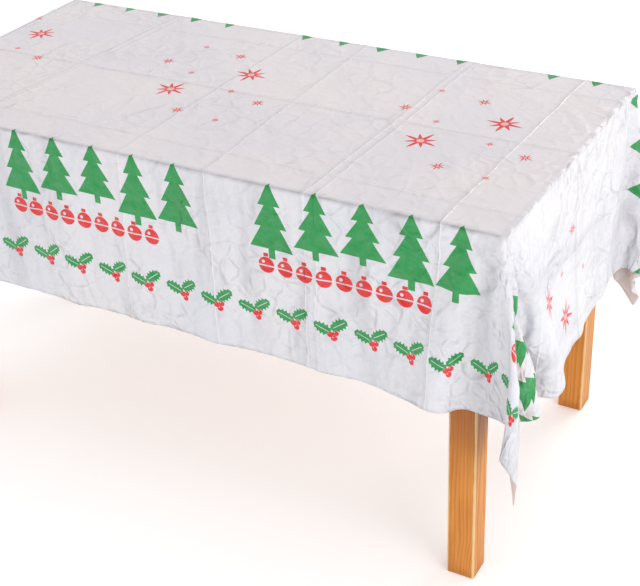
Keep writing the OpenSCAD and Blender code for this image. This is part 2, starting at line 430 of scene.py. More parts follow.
class InkGroups:
    """The small outlines that the print is made of, each a node group."""

    EDGE = 0.0005
    STAR_SPIKES = 8
    SPIKE_SHARPNESS = 1.9
    STAR_WAIST = 0.31
    SPIKE_REACH = 0.62
    SPIKE_SWING = 0.10
    HEART_SHARE = 0.20
    LEAF_PRICKLES = 2.5
    LEAF_BELLY = 1.14
    LEAF_BAY = 0.42
    SHINE_SHARE = 0.20
    SHINE_SHIFT = 0.38
    CROWN_SHARE = 0.87
    TRUNK_HALF = 0.0065

    def __init__(self) -> None:
        """Builds every outline once."""
        self.star = self.star_outline()
        self.leaf = self.leaf_outline()
        self.disc = self.disc_outline()
        self.fir = self.fir_outline()

    def star_outline(self) -> bpy.types.NodeTree:
        """Draws a star of eight spikes, long and short in turn, round a pale heart.

        Returns:
            The node group.
        """
        w = GroupWriter("star_outline",
                        {"Place": (0.0, 0.0, 0.0), "X": 0.0, "Y": 0.0, "Radius": 0.03, "Turn": 0.0},
                        {"Ink": 1, "Heart": 1})
        x, y, _ = w.split(w.inputs["Place"])
        dx, dy = w.sub(x, w.inputs["X"]), w.sub(y, w.inputs["Y"])
        reach = w.vector("LENGTH", w.join(dx, dy))
        angle = w.add(w.math("ARCTAN2", dy, dx), w.inputs["Turn"])
        part = w.math("FRACT", w.mul(angle, self.STAR_SPIKES / math.tau))
        near = w.mul(w.size_of(w.sub(part, 0.5)), 2.0)
        spike = w.math("POWER", near, self.SPIKE_SHARPNESS)
        turns = w.math("COSINE", w.mul(angle, self.STAR_SPIKES / 2))
        lengths = w.add(w.mul(turns, self.SPIKE_SWING), self.SPIKE_REACH)
        edge = w.mul(w.inputs["Radius"], w.add(w.mul(spike, lengths), self.STAR_WAIST))
        ink = w.inside(w.sub(edge, reach), self.EDGE)
        ring = w.sub(w.mul(w.inputs["Radius"], self.HEART_SHARE), reach)
        return w.put(Ink=ink, Heart=w.inside(ring, self.EDGE * 2))

    def leaf_outline(self) -> bpy.types.NodeTree:
        """Draws a prickly evergreen leaf with a light midrib.

        Returns:
            The node group.
        """
        w = GroupWriter("leaf_outline",
                        {"Place": (0.0, 0.0, 0.0), "X": 0.0, "Y": 0.0, "Turn": 0.0,
                         "Half Length": 0.02, "Half Width": 0.01},
                        {"Ink": 1, "Vein": 1})
        x, y, _ = w.split(w.inputs["Place"])
        dx, dy = w.sub(x, w.inputs["X"]), w.sub(y, w.inputs["Y"])
        cosine, sine = w.math("COSINE", w.inputs["Turn"]), w.math("SINE", w.inputs["Turn"])
        along = w.math("DIVIDE", w.add(w.mul(dx, cosine), w.mul(dy, sine)), w.inputs["Half Length"])
        across = w.math("DIVIDE", w.sub(w.mul(dy, cosine), w.mul(dx, sine)), w.inputs["Half Width"])
        lens = w.math("SQRT", w.larger(w.sub(1.0, w.mul(along, along)), 0.0))
        bays = w.size_of(w.math("SINE", w.mul(along, self.LEAF_PRICKLES * math.pi)))
        edge = w.mul(lens, w.sub(self.LEAF_BELLY, w.mul(bays, self.LEAF_BAY)))
        margin = w.mul(w.sub(edge, w.size_of(across)), w.inputs["Half Width"])
        vein = w.inside(w.sub(0.05, w.size_of(across)), 0.035)
        within = w.inside(w.sub(0.72, w.size_of(along)), 0.05)
        return w.put(Ink=w.inside(margin, self.EDGE), Vein=w.mul(vein, within))

    def disc_outline(self) -> bpy.types.NodeTree:
        """Draws a round berry or bauble with a small light spot.

        Returns:
            The node group.
        """
        w = GroupWriter("disc_outline",
                        {"Place": (0.0, 0.0, 0.0), "X": 0.0, "Y": 0.0, "Radius": 0.006},
                        {"Ink": 1, "Shine": 1})
        centre = w.join(w.inputs["X"], w.inputs["Y"])
        reach = w.vector("DISTANCE", w.inputs["Place"], centre)
        shift = w.mul(w.inputs["Radius"], self.SHINE_SHIFT)
        spot = w.join(w.sub(w.inputs["X"], shift), w.add(w.inputs["Y"], shift))
        near = w.vector("DISTANCE", w.inputs["Place"], spot)
        return w.put(
            Ink=w.inside(w.sub(w.inputs["Radius"], reach), self.EDGE),
            Shine=w.inside(w.sub(w.mul(w.inputs["Radius"], self.SHINE_SHARE), near), self.EDGE))

    def fir_outline(self) -> bpy.types.NodeTree:
        """Draws a fir tree of three tiers on a short trunk, with its tip at the place's origin.

        Returns:
            The node group.
        """
        w = GroupWriter("fir_outline",
                        {"Place": (0.0, 0.0, 0.0), "Height": 0.13, "Half Width": 0.04}, {"Ink": 1})
        x, y, _ = w.split(w.inputs["Place"])
        down = w.math("DIVIDE", w.mul(y, -1.0), w.inputs["Height"])
        side = w.size_of(x)
        steps = w.mul(down, 3 / self.CROWN_SHARE)
        tier, part = w.math("FLOOR", steps), w.math("FRACT", steps)
        spread = w.add(w.mul(tier, 0.22), w.mul(part, w.add(w.mul(tier, 0.03), 0.50)))
        width = w.mul(w.inputs["Half Width"], spread)
        crown = w.mul(w.inside(w.sub(width, side), self.EDGE),
                      w.mul(w.inside(down, 0.004), w.inside(w.sub(self.CROWN_SHARE, down), 0.004)))
        rise = w.mul(w.inside(w.sub(down, self.CROWN_SHARE - 0.01), 0.004),
                     w.inside(w.sub(1.0, down), 0.004))
        trunk = w.mul(w.inside(w.sub(self.TRUNK_HALF, side), self.EDGE), rise)
        return w.put(Ink=w.larger(crown, trunk))


@dataclass(frozen=True)
class StarMark:
    """One printed star: its centre and radius on the flat film, in metres."""

    x: float
    y: float
    radius: float
    turn: float = 0.0


TOP_STARS = (
    StarMark(0.520, 0.070, 0.037, 0.10), StarMark(0.408, -0.059, 0.037, 0.32),
    StarMark(0.317, 0.067, 0.016), StarMark(0.446, 0.149, 0.016, 0.2),
    StarMark(0.608, -0.050, 0.016, 0.3), StarMark(0.481, -0.143, 0.016, 0.1),
    StarMark(0.348, 0.167, 0.0095), StarMark(0.399, 0.030, 0.0095, 0.2),
    StarMark(0.529, -0.022, 0.0095), StarMark(0.576, -0.153, 0.0095, 0.3),
)
END_STARS = (
    StarMark(0.903, -0.153, 0.036, 0.15), StarMark(0.990, -0.048, 0.036, 0.3),
    StarMark(0.825, -0.013, 0.015, 0.1), StarMark(0.895, -0.058, 0.009),
    StarMark(0.935, 0.055, 0.009, 0.2),
)


@dataclass(frozen=True)
class SprigPart:
    """A leaf or a berry of a sprig: its centre from the sprig's own, in metres, and its turn."""

    x: float
    y: float
    turn: float = 0.0


SPRIG_LEAVES = (SprigPart(-0.0168, -0.001, -0.32), SprigPart(0.0162, 0.0108, 0.62))
SPRIG_BERRIES = (SprigPart(0.0, -0.0112), SprigPart(0.0095, -0.0078), SprigPart(0.0064, -0.0190))


@dataclass(frozen=True)
class FestivePrint:
    """The print on the film: stars on top, then firs, baubles and sprigs on the long drops.

    Attributes:
        repeat: The length after which the print starts again.
        star_rise: How far each repeat of the stars is shifted across the film.
        star_start: Where along the film the first set of stars starts.
        star_limit: How far from the middle the sets of stars reach.
        fir_start: Where a row of firs starts.
        fir_pitch: The width that each fir takes.
        fir_count: The number of firs in a row.
        fir_top: The line of the firs' tips, across the film.
        fir_height: The mean height of a fir.
        fir_swing: How much the heights differ.
        bauble_start: Where a row of baubles starts.
        bauble_pitch: The width that each bauble takes.
        bauble_count: The number of baubles in a row.
        bauble_line: The line of their centres, across the film.
        bauble_radius: A bauble's radius.
        sprig_pitch: The width that each sprig takes.
        sprig_line: The line of the sprigs, across the film.
        leaf_half: Half of a leaf's length and half of its width.
        berry_radius: A berry's radius.
        back_shift: How much nearer the middle the back's print stands.
    """

    repeat: float = 0.565
    star_rise: float = 0.020
    star_start: float = 0.200
    star_limit: float = 0.700
    fir_start: float = -0.365
    fir_pitch: float = 0.0915
    fir_count: int = 5
    fir_top: float = -0.323
    fir_height: float = 0.134
    fir_swing: float = 0.016
    bauble_start: float = -0.352
    bauble_pitch: float = 0.0394
    bauble_count: int = 9
    bauble_line: float = -0.488
    bauble_radius: float = 0.0165
    sprig_pitch: float = 0.0805
    sprig_line: float = -0.586
    leaf_half: tuple[float, float] = (0.0190, 0.0122)
    berry_radius: float = 0.0058
    back_shift: float = 0.018

    def stars(self, w: NodeWriter, outlines: InkGroups, place: Feed,
              marks: tuple[StarMark, ...]) -> tuple[Feed, Feed]:
        """Draws a set of stars.

        Args:
            w: The writer of the print's group.
            outlines: The outlines to use.
            place: Where on the film a point is.
            marks: The stars.

        Returns:
            The masks of their ink and of their hearts.
        """
        ink: Feed = 0.0
        heart: Feed = 0.0
        for mark in marks:
            star = w.place(outlines.star, Place=place, X=mark.x, Y=mark.y,
                           Radius=mark.radius, Turn=mark.turn)
            ink = w.larger(ink, star.outputs["Ink"])
            heart = w.larger(heart, star.outputs["Heart"])
        return ink, heart

    def firs(self, w: NodeWriter, outlines: InkGroups, x: Feed, y: Feed) -> Feed:
        """Draws the rows of fir trees.

        Args:
            w: The writer of the print's group.
            outlines: The outlines to use.
            x: The place along the film.
            y: The place across it.

        Returns:
            The mask of their ink.
        """
        run = w.math("FLOORED_MODULO", w.sub(x, self.fir_start), self.repeat)
        count = w.math("FLOOR", w.math("DIVIDE", run, self.fir_pitch))
        side = w.sub(run, w.mul(w.add(count, 0.5), self.fir_pitch))
        sway = w.math("SINE", w.add(w.mul(count, 1.9), 1.4))
        height = w.add(w.mul(sway, self.fir_swing), self.fir_height)
        tree = w.place(outlines.fir, Place=w.join(side, w.sub(y, self.fir_top)),
                       Height=height, **{"Half Width": self.fir_pitch * 0.49})
        row = w.math("LESS_THAN", run, self.fir_pitch * self.fir_count)
        return w.mul(tree.outputs["Ink"], row)

    def baubles(self, w: NodeWriter, outlines: InkGroups, x: Feed, y: Feed) -> Feed:
        """Draws the rows of small hanging baubles.

        Args:
            w: The writer of the print's group.
            outlines: The outlines to use.
            x: The place along the film.
            y: The place across it.

        Returns:
            The mask of their ink.
        """
        run = w.math("FLOORED_MODULO", w.sub(x, self.bauble_start), self.repeat)
        count = w.math("FLOOR", w.math("DIVIDE", run, self.bauble_pitch))
        side = w.sub(run, w.mul(w.add(count, 0.5), self.bauble_pitch))
        rise = w.sub(y, self.bauble_line)
        ball = w.place(outlines.disc, Place=w.join(side, rise), Radius=self.bauble_radius)
        cap_rise = w.size_of(w.sub(rise, self.bauble_radius + 0.0045))
        cap = w.mul(w.inside(w.sub(0.0050, w.size_of(side)), 0.0005),
                    w.inside(w.sub(0.0036, cap_rise), 0.0005))
        belt = w.inside(w.sub(0.0013, w.size_of(w.add(rise, 0.0015))), 0.0005)
        light = w.larger(ball.outputs["Shine"], belt)
        whole = w.larger(w.mul(ball.outputs["Ink"], w.sub(1.0, light)), cap)
        row = w.math("LESS_THAN", run, self.bauble_pitch * self.bauble_count)
        return w.mul(whole, row)

    def sprigs(self, w: NodeWriter, outlines: InkGroups, x: Feed, y: Feed) -> tuple[Feed, Feed]:
        """Draws the row of leaf and berry sprigs along the hem.

        Args:
            w: The writer of the print's group.
            outlines: The outlines to use.
            x: The place along the film.
            y: The place across it.

        Returns:
            The masks of the leaves and of the berries.
        """
        side = w.sub(w.math("FLOORED_MODULO", x, self.sprig_pitch), self.sprig_pitch / 2)
        place = w.join(side, w.sub(y, self.sprig_line))
        leaves: Feed = 0.0
        half_length, half_width = self.leaf_half
        for part in SPRIG_LEAVES:
            leaf = w.place(outlines.leaf, Place=place, X=part.x, Y=part.y, Turn=part.turn,
                           **{"Half Length": half_length, "Half Width": half_width})
            leaves = w.larger(leaves, w.mul(leaf.outputs["Ink"], w.sub(1.0, leaf.outputs["Vein"])))
        berries: Feed = 0.0
        for part in SPRIG_BERRIES:
            berry = w.place(outlines.disc, Place=place, X=part.x, Y=part.y,
                            Radius=self.berry_radius)
            whole = w.mul(berry.outputs["Ink"], w.sub(1.0, berry.outputs["Shine"]))
            berries = w.larger(berries, whole)
        return w.mul(leaves, w.sub(1.0, berries)), berries

    def build(self) -> bpy.types.NodeTree:
        """Builds the whole print as one node group.

        Returns:
            A group that reads a place on the flat film and the film's own colour, and gives the
            printed colour and how much ink there is.
        """
        outlines = InkGroups()
        w = GroupWriter("festive_print",
                        {"Flat": (0.0, 0.0, 0.0), "Film": (0.8, 0.8, 0.8, 1.0)},
                        {"Colour": 4, "Cover": 1})
        flat = w.inputs["Flat"]
        x, y, _ = w.split(flat)
        turn = w.math("FLOOR", w.math("DIVIDE", w.sub(x, self.star_start), self.repeat))
        near = w.join(w.sub(x, w.mul(turn, self.repeat)), w.add(y, w.mul(turn, self.star_rise)))
        ink, heart = self.stars(w, outlines, near, TOP_STARS)
        on_top = w.math("LESS_THAN", w.size_of(x), self.star_limit)
        way = w.math("SIGN", x)
        end_ink, end_heart = self.stars(w, outlines, w.join(w.mul(x, way), w.mul(y, way)), END_STARS)
        red = w.larger(w.mul(ink, on_top), end_ink)
        hearts = w.larger(w.mul(heart, on_top), end_heart)
        side = w.mul(w.math("SIGN", y), -1.0)
        set_back = w.mul(w.math("GREATER_THAN", y, 0.0), self.back_shift)
        band_x, band_y = w.mul(x, side), w.sub(w.mul(y, side), set_back)
        leaves, berries = self.sprigs(w, outlines, band_x, band_y)
        green = w.larger(self.firs(w, outlines, band_x, band_y), leaves)
        red = w.larger(red, w.larger(self.baubles(w, outlines, band_x, band_y), berries))
        patchy = w.ramp(w.noise(flat, 55.0, 4.0, 0.6), 0.25, 0.75, 0.93, 1.0)
        colour = w.blend(w.mul(green, patchy), w.inputs["Film"], GREEN_INK)
        colour = w.blend(w.mul(red, patchy), colour, RED_INK)
        colour = w.blend(hearts, colour, PINK_HEART)
        return w.put(Colour=colour, Cover=w.larger(green, red))


@dataclass(frozen=True)
class FoldMark:
    """A straight mark left by folding the film in its packet.

    Attributes:
        along_x: True if the mark runs along the cloth, False if it runs across.
        at: Where it crosses the middle, in metres.
        slant: How far it drifts sideways for each metre of its run.
        depth: Its share of the full relief.
    """

    along_x: bool
    at: float
    slant: float = 0.0
    depth: float = 1.0


FOLD_MARKS = (
    FoldMark(True, 0.004, 0.006, 1.0), FoldMark(True, -0.247, -0.010, 0.6),
    FoldMark(True, 0.252, 0.008, 0.6), FoldMark(False, -0.412, 0.10, 0.9),
    FoldMark(False, -0.398, 0.12, 0.6), FoldMark(False, -0.066, 0.03, 0.9),
    FoldMark(False, 0.106, -0.02, 0.7), FoldMark(False, 0.328, 0.03, 0.8),
    FoldMark(False, 0.346, 0.02, 0.8), FoldMark(False, 0.578, 0.02, 1.0),
    FoldMark(False, -0.700, -0.03, 0.8), FoldMark(False, 0.880, 0.02, 0.7),
)


class FilmReliefGroups:
    """The fold marks and the fine crinkle of the film, each a node group."""

    DRIFT = 0.045
    BROAD_FACETS = 9.0
    SMALL_FACETS = 27.0

    def __init__(self) -> None:
        """Builds both groups."""
        self.marks = self.fold_marks()
        self.crinkle = self.fine_crinkle()

    def fold_marks(self) -> bpy.types.NodeTree:
        """Draws the packet's fold marks as thin raised lines, with a mask beside each for its painted
        shade.

        Returns:
            The node group.
        """
        w = GroupWriter("fold_marks", {"Flat": (0.0, 0.0, 0.0)}, {"Line": 1, "Shade": 1})
        x, y, _ = w.split(w.inputs["Flat"])
        wobble = w.mul(w.sub(w.noise(w.inputs["Flat"], 7.0), 0.5), 0.012)
        line: Feed = 0.0
        shade: Feed = 0.0
        for mark in FOLD_MARKS:
            run, off = (x, y) if mark.along_x else (y, x)
            gap = w.sub(w.sub(w.add(off, wobble), mark.at), w.mul(run, mark.slant))
            crest = w.ramp(w.size_of(gap), 0.0, 0.0028, mark.depth, 0.0)
            flank = w.ramp(w.size_of(w.add(gap, 0.0055)), 0.0, 0.0075, mark.depth, 0.0)
            line, shade = w.larger(line, crest), w.larger(shade, flank)
        fade = w.ramp(w.noise(w.inputs["Flat"], 4.0, 3.0), 0.30, 0.52, 0.45, 1.0)
        return w.put(Line=w.mul(line, fade), Shade=w.mul(shade, fade))

    def fine_crinkle(self) -> bpy.types.NodeTree:
        """Draws the small flat facets and the ripple of thin film that has been folded.

        Returns:
            The node group.
        """
        w = GroupWriter("fine_crinkle", {"Flat": (0.0, 0.0, 0.0)}, {"Height": 1, "Cloud": 1})
        flat = w.inputs["Flat"]
        drift = w.node("ShaderNodeTexNoise")
        w.feed(drift.inputs["Vector"], flat)
        w.feed(drift.inputs["Scale"], 6.0)
        spread = w.node("ShaderNodeVectorMath", operation="SCALE")
        w.feed(spread.inputs[0], drift.outputs["Color"])
        w.feed(spread.inputs["Scale"], self.DRIFT)
        pushed = w.vector("ADD", flat, spread.outputs["Vector"])
        broad = w.cells(pushed, self.BROAD_FACETS, "DISTANCE_TO_EDGE").outputs["Distance"]
        small = w.cells(pushed, self.SMALL_FACETS, "DISTANCE_TO_EDGE").outputs["Distance"]
        broad = w.ramp(broad, 0.0, 0.16, 1.0, 0.0)
        small = w.ramp(small, 0.0, 0.20, 1.0, 0.0)
        soft = w.noise(flat, 11.0, 3.0, 0.55)
        fine = w.noise(flat, 130.0, 3.0, 0.6)
        patches = w.ramp(w.noise(flat, 5.0, 2.0), 0.35, 0.65, 0.25, 1.0)
        facets = w.mul(w.add(w.mul(broad, 0.45), w.mul(small, 0.22)), patches)
        height = w.add(facets, w.add(w.mul(soft, 1.50), w.mul(fine, 0.10)))
        return w.put(Height=height, Cloud=w.noise(flat, 3.2, 4.0, 0.6))


@dataclass(frozen=True)
class FilmFinish:
    """Thin glossy white plastic film, printed on its outer face.

    Attributes:
        name: The material's name.
        hanging: The film's colour where it hangs free.
        laid: Its colour where it lies on wood, which shows through a little.
        show: How strongly the print shows on this face.
        relief_depth: How deep the crinkle is on this face, in metres.
        streak_and_painted_shade: The grey colour painted in upright streaks down the drops, as the
            shade of their crumples.
        mark_shade: The colour of the painted shade beside a fold mark.
        painted_crest_highlight: The colour of the painted highlight along its crest.
        mark_depth: How far a fold mark stands up, in metres.
        gloss: The least and the greatest roughness.
        edge_from: Where the laid colour starts to turn into the hanging one, from the top's edge.
        edge_to: Where it has turned.
    """

    name: str
    hanging: Colour = (0.690, 0.690, 0.722, 1.0)
    laid: Colour = (0.735, 0.690, 0.702, 1.0)
    show: float = 1.0
    relief_depth: float = 0.0062
    streak_and_painted_shade: Colour = (0.420, 0.415, 0.435, 1.0)
    mark_shade: Colour = (0.440, 0.410, 0.420, 1.0)
    painted_crest_highlight: Colour = (0.920, 0.910, 0.920, 1.0)
    mark_depth: float = 0.0012
    gloss: tuple[float, float] = (0.27, 0.40)
    edge_from: float = -0.012
    edge_to: float = 0.010

    def build(self, cloth: "FilmTablecloth", festive: bpy.types.NodeTree,
              relief: FilmReliefGroups) -> bpy.types.Material:
        """Builds the material.

        Args:
            cloth: The cloth that it is for, which gives the sizes.
            festive: The print's node group.
            relief: The film's relief groups.

        Returns:
            The material.
        """
        w = MaterialWriter(self.name)
        sheet = w.node("ShaderNodeUVMap", uv_map=cloth.map_name).outputs[0]
        centred = w.vector("SUBTRACT", sheet, (0.5, 0.5, 0.0))
        flat = w.vector("MULTIPLY", centred, (cloth.length, cloth.width, 0.0))
        x, y, _ = w.split(flat)
        reach = w.larger(w.sub(w.size_of(x), cloth.top_length / 2),
                         w.sub(w.size_of(y), cloth.top_width / 2))
        off_top = w.ramp(reach, self.edge_from, self.edge_to)
        crinkle = w.place(relief.crinkle, Flat=flat)
        marks = w.place(relief.marks, Flat=flat)
        film = w.blend(off_top, self.laid, self.hanging)
        warm = w.blend(w.ramp(crinkle.outputs["Cloud"], 0.35, 0.70), (1.03, 1.0, 0.985, 1.0),
                       (0.955, 0.955, 0.975, 1.0))
        film = w.blend(1.0, film, warm, "MULTIPLY")
        # Painted shade: grey upright streaks down the drops stand in for the shade of their crumples.
        painted_shade_streaks = w.noise(w.vector("MULTIPLY", flat, (13.0, 2.4, 1.0)), 1.0, 4.0, 0.6)
        streak_and_painted_shade = w.mul(w.ramp(painted_shade_streaks, 0.46, 0.68), off_top)
        film = w.blend(w.mul(streak_and_painted_shade, 0.40), film, self.streak_and_painted_shade)
        # Painted shade beside each fold mark, and a painted highlight along its crest.
        film = w.blend(w.mul(marks.outputs["Shade"], 0.22), film, self.mark_shade)
        film = w.blend(w.mul(marks.outputs["Line"], 0.55), film, self.painted_crest_highlight)
        printed = w.place(festive, Flat=flat, Film=film)
        w.set("Base Color", w.blend(self.show, film, printed.outputs["Colour"]))
        rough = w.ramp(crinkle.outputs["Cloud"], 0.3, 0.7, *self.gloss)
        w.set("Roughness", w.sub(rough, w.mul(printed.outputs["Cover"], 0.04)))
        loose = w.add(w.mul(off_top, 0.90), 0.75)
        broad = w.bump(w.mul(crinkle.outputs["Height"], loose), self.relief_depth)
        lines = w.node("ShaderNodeBump")
        for name, source in (("Height", marks.outputs["Line"]), ("Distance", self.mark_depth),
                             ("Strength", 1.0), ("Normal", broad)):
            w.feed(lines.inputs[name], source)
        w.set("Normal", lines.outputs[0])
        w.shader.inputs["IOR"].default_value = 1.50
        w.shader.inputs["Specular IOR Level"].default_value = 0.38
        return w.material


class Grain(Enum):
    """Which way the grain of a wooden piece runs."""

    LENGTHWISE = "x"
    CROSSWISE = "y"
    UPRIGHT = "z"


class WoodGroup:
    """The grain of sawn and planed pine: rings, fibres and knots."""

    PITH_X = 0.17
    PITH_Y = 0.13
    KNOT_CHOICE = 0.42

    def __init__(self) -> None:
        """Builds the node group."""
        w = GroupWriter("pine_grain",
                        {"Place": (0.0, 0.0, 0.0), "Light": (0.7, 0.4, 0.15, 1.0),
                         "Dark": (0.45, 0.2, 0.06, 1.0), "Knot": (0.12, 0.04, 0.015, 1.0),
                         "Ring": 0.006},
                        {"Colour": 4, "Height": 1, "Band": 1})
        place = w.inputs["Place"]
        knots = w.cells(w.vector("MULTIPLY", place, (11.0, 11.0, 4.6)), 1.0)
        chosen = w.math("GREATER_THAN", w.split(knots.outputs["Color"])[0], self.KNOT_CHOICE)
        reach = knots.outputs["Distance"]
        swirl = w.mul(w.ramp(reach, 0.0, 0.55, 1.0, 0.0), chosen)
        sweep = w.noise(w.vector("MULTIPLY", place, (7.0, 7.0, 1.1)), 1.0, 2.0)
        wave = w.noise(w.vector("MULTIPLY", place, (30.0, 30.0, 3.2)), 1.0, 3.0)
        x, y, _ = w.split(place)
        pith = w.vector("LENGTH", w.join(w.add(x, self.PITH_X), w.mul(w.add(y, self.PITH_Y), 1.25)))
        bent = w.add(pith, w.add(w.mul(sweep, 0.060), w.mul(wave, 0.007)))
        bent = w.add(bent, w.mul(swirl, 0.016))
        turns = w.math("DIVIDE", bent, w.inputs["Ring"])
        saw = w.math("FRACT", turns)
        late = w.mul(w.ramp(saw, 0.30, 0.90), w.ramp(saw, 0.92, 1.0, 1.0, 0.0))
        fibre = w.noise(w.vector("MULTIPLY", place, (900.0, 900.0, 22.0)), 1.0, 3.0, 0.65)
        streak_and_painted_shade = w.noise(w.vector("MULTIPLY", place, (150.0, 150.0, 3.0)), 1.0, 3.0, 0.6)
        blotch = w.noise(w.vector("MULTIPLY", place, (26.0, 26.0, 5.0)), 1.0, 3.0, 0.6)
        tone = w.add(w.mul(late, 0.34), w.mul(w.ramp(streak_and_painted_shade, 0.35, 0.75), 0.34))
        tone = w.add(tone, w.mul(w.ramp(blotch, 0.42, 0.70), 0.38))
        tone = w.add(tone, w.mul(w.sub(fibre, 0.5), 0.28))
        colour = w.blend(w.math("ADD", tone, 0.0, clamp=True), w.inputs["Light"], w.inputs["Dark"])
        core = w.mul(w.ramp(reach, 0.045, 0.085, 0.9, 0.0), chosen)
        halo = w.mul(w.ramp(reach, 0.06, 0.19, 0.50, 0.0), chosen)
        crack = w.noise(w.vector("MULTIPLY", place, (70.0, 70.0, 2.2)), 1.0, 4.0, 0.7)
        crack = w.ramp(crack, 0.685, 0.72)
        colour = w.blend(w.larger(halo, w.mul(crack, 0.65)), colour, w.inputs["Knot"])
        colour = w.blend(core, colour, w.inputs["Knot"])
        height = w.sub(w.add(w.mul(fibre, 0.35), w.mul(late, 0.40)), w.mul(crack, 0.8))
        self.tree = w.put(Colour=colour, Height=height, Band=late)


@dataclass(frozen=True)
class WoodFinish:
    """Planed and varnished pine.

    Attributes:
        name: The material's name.
        grain: The way the grain runs.
        light: The early wood's colour.
        dark: The late wood's colour.
        knot: The knots' colour.
        ring: The width of a growth ring, in metres.
        gloss: The varnish's roughness.
    """

    name: str
    grain: Grain
    light: Colour = (0.680, 0.265, 0.042, 1.0)
    dark: Colour = (0.420, 0.125, 0.014, 1.0)
    knot: Colour = (0.105, 0.030, 0.010, 1.0)
    ring: float = 0.0075
    gloss: float = 0.42

    def read_place(self, w: MaterialWriter) -> bpy.types.NodeSocket:
        """Turns the object's coordinates so that the grain runs along the third."""
        x, y, z = w.split(w.object_place())
        orders = {Grain.LENGTHWISE: (y, z, x), Grain.CROSSWISE: (z, x, y), Grain.UPRIGHT: (x, y, z)}
        return w.join(*orders[self.grain])

    def tint(self, w: MaterialWriter, colour: Feed) -> Feed:
        """Leaves the wood's colour as it is; a finish that tints it, such as the legs' paler arrises
        and painted shade, adds to it.

        Args:
            w: The material's writer.
            colour: The bare wood's colour.

        Returns:
            The colour to use.
        """
        return colour

    def build(self, wood: WoodGroup) -> bpy.types.Material:
        """Builds the material.

        Args:
            wood: The grain's node group.

        Returns:
            The material.
        """
        w = MaterialWriter(self.name)
        grain = w.place(wood.tree, Place=self.read_place(w), Light=self.light,
                        Dark=self.dark, Knot=self.knot, Ring=self.ring)
        w.set("Base Color", self.tint(w, grain.outputs["Colour"]))
        w.set("Roughness", w.ramp(grain.outputs["Band"], 0.0, 1.0, self.gloss, self.gloss + 0.10))
        w.set("Normal", w.bump(grain.outputs["Height"], 0.0007))
        w.shader.inputs["Specular IOR Level"].default_value = 0.30
        return w.material


@dataclass(frozen=True)
class LegFinish(WoodFinish):
    """The legs' pine: paler arrises, painted shade that turns the upper part darker and redder under
    the cloth, and a darker foot.

    Attributes:
        centre: Where a leg's axis stands from the table's middle, along and across, in metres.
        half: Half of the leg's side, in metres.
        arris_tone: The paler colour of the arrises.
        painted_shade_and_foot_tone: The darker, redder colour of the painted shade on the upper part,
            which also darkens the foot.
    """

    centre: tuple[float, float] = (0.6155, 0.2985)
    half: float = 0.0275
    arris_tone: Colour = (0.780, 0.560, 0.280, 1.0)
    painted_shade_and_foot_tone: Colour = (0.300, 0.085, 0.020, 1.0)

    def tint(self, w: MaterialWriter, colour: Feed) -> Feed:
        """Lightens the arrises, darkens and reddens the upper part as painted shade of the cloth, and
        darkens the foot.

        Args:
            w: The material's writer.
            colour: The bare wood's colour.

        Returns:
            The colour to use.
        """
        place = w.object_place()
        x, y, z = w.split(place)
        across = w.size_of(w.sub(w.size_of(x), self.centre[0]))
        along = w.size_of(w.sub(w.size_of(y), self.centre[1]))
        nearer = w.math("MINIMUM", across, along)
        uneven = w.mul(w.noise(place, 24.0, 3.0), 0.0035)
        # The arrises are made paler.
        arris = w.ramp(w.add(nearer, uneven), self.half - 0.0030, self.half - 0.0010)
        # Painted shade: the upper part turns darker and redder where the cloth hangs over it.
        fade = w.mul(w.ramp(w.add(z, w.mul(w.noise(place, 9.0), 0.10)), 0.26, 0.44), 0.70)
        # Darker towards the foot.
        foot = w.ramp(w.add(z, w.mul(w.noise(place, 30.0, 3.0), 0.03)), 0.018, 0.045, 0.35, 0.0)
        colour = w.blend(w.larger(fade, foot), colour, self.painted_shade_and_foot_tone)
        return w.blend(w.mul(arris, 0.75), colour, self.arris_tone)


@dataclass(frozen=True)
class SteelFinish:
    """Bright zinc plating with a slight mottle."""

    name: str = "zinc_plating"
    bright: Colour = (0.640, 0.650, 0.660, 1.0)
    dull: Colour = (0.430, 0.440, 0.450, 1.0)

    def build(self) -> bpy.types.Material:
        """Builds the material.

        Returns:
            The material.
        """
        w = MaterialWriter(self.name)
        place = w.object_place()
        mottle = w.noise(place, 700.0, 4.0, 0.6)
        w.set("Base Color", w.blend(w.ramp(mottle, 0.3, 0.7), self.bright, self.dull))
        w.set("Roughness", w.ramp(mottle, 0.3, 0.7, 0.28, 0.46))
        w.set("Normal", w.bump(w.noise(place, 2600.0, 2.0), 0.00008))
        w.shader.inputs["Metallic"].default_value = 1.0
        return w.material


@dataclass(frozen=True)
class FloorFinish:
    """A plain pale floor.

    Attributes:
        name: The material's name.
        glow: How much light of its own it gives, which keeps it pale under the table.
        tone: Its colour.
        cloud: The colour of its faint clouds.
    """

    name: str = "pale_floor"
    glow: float = 0.24
    tone: Colour = (0.940, 0.940, 0.940, 1.0)
    cloud: Colour = (0.925, 0.927, 0.932, 1.0)

    def build(self) -> bpy.types.Material:
        """Builds the material.

        Returns:
            The material.
        """
        w = MaterialWriter(self.name)
        drift = w.noise(w.object_place(), 1.3, 3.0)
        w.set("Base Color", w.blend(w.ramp(drift, 0.3, 0.7), self.tone, self.cloud))
        w.shader.inputs["Roughness"].default_value = 0.85
        w.shader.inputs["Emission Color"].default_value = (1.0, 1.0, 1.0, 1.0)
        w.shader.inputs["Emission Strength"].default_value = self.glow
        return w.material


